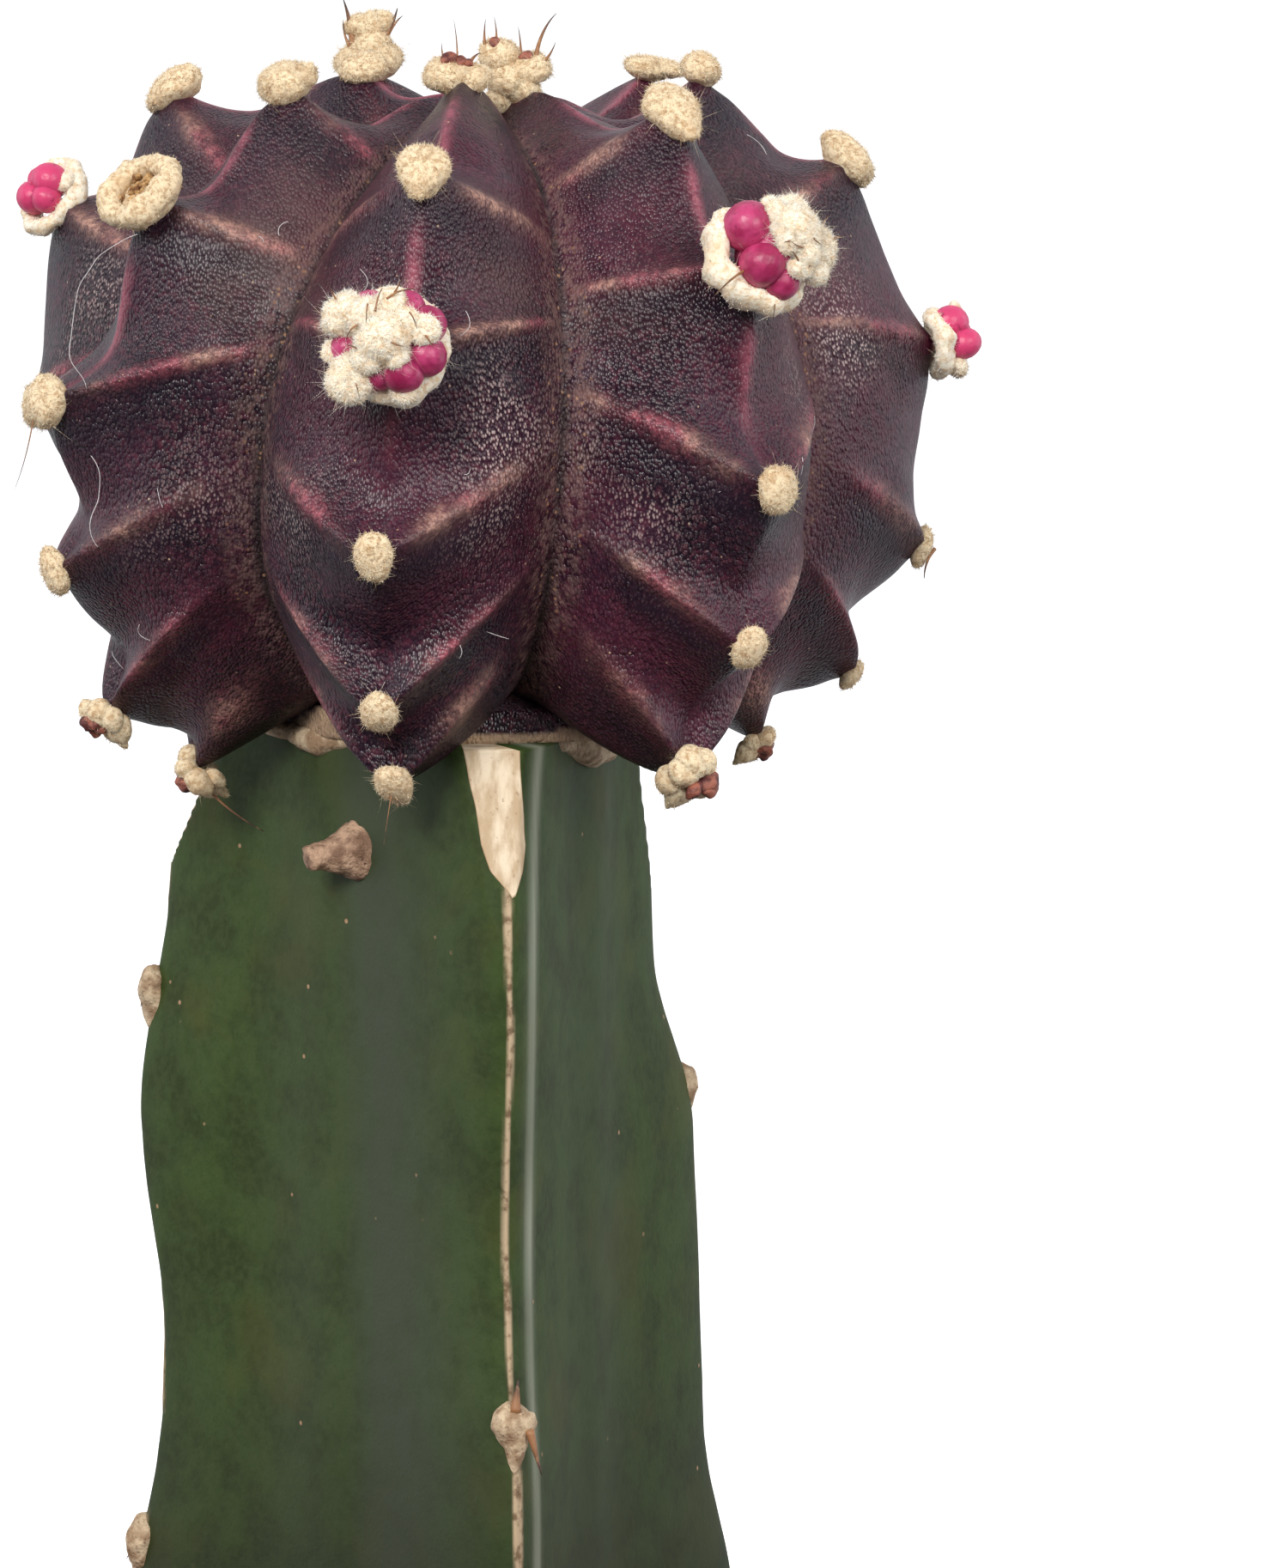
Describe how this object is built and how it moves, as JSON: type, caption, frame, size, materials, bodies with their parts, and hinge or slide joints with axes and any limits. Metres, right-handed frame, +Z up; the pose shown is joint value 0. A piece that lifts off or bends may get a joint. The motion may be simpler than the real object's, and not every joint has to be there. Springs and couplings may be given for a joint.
{
  "type": "potted moon cactus",
  "caption": "Moon cactus in a clay pot: a dark purple ribbed head with magenta offsets, grafted on a green three-sided rootstock standing in soil.",
  "frame": {"origin": "on the ground under the middle of the pot", "axes": "+Z up along the stem, -Y out of the front of the plant, +X to the viewer's right"},
  "size_m": [0.072, 0.072, 0.1539],
  "materials": {
    "clay": "unglazed matt terracotta",
    "soil": "loose peaty potting mix",
    "stem_skin": "waxy green plant skin with corky scars",
    "head_skin": "pebbled satin purple plant skin",
    "offset_skin": "smooth magenta plant skin with woolly tips"
  },
  "bodies": {
    "root": {"pot": "clay", "soil": "soil", "rootstock": "stem_skin", "scion": "head_skin", "offset_front": "offset_skin", "offset_right": "offset_skin", "offset_far_right": "offset_skin", "offset_left": "offset_skin"}
  },
  "joints": []
}
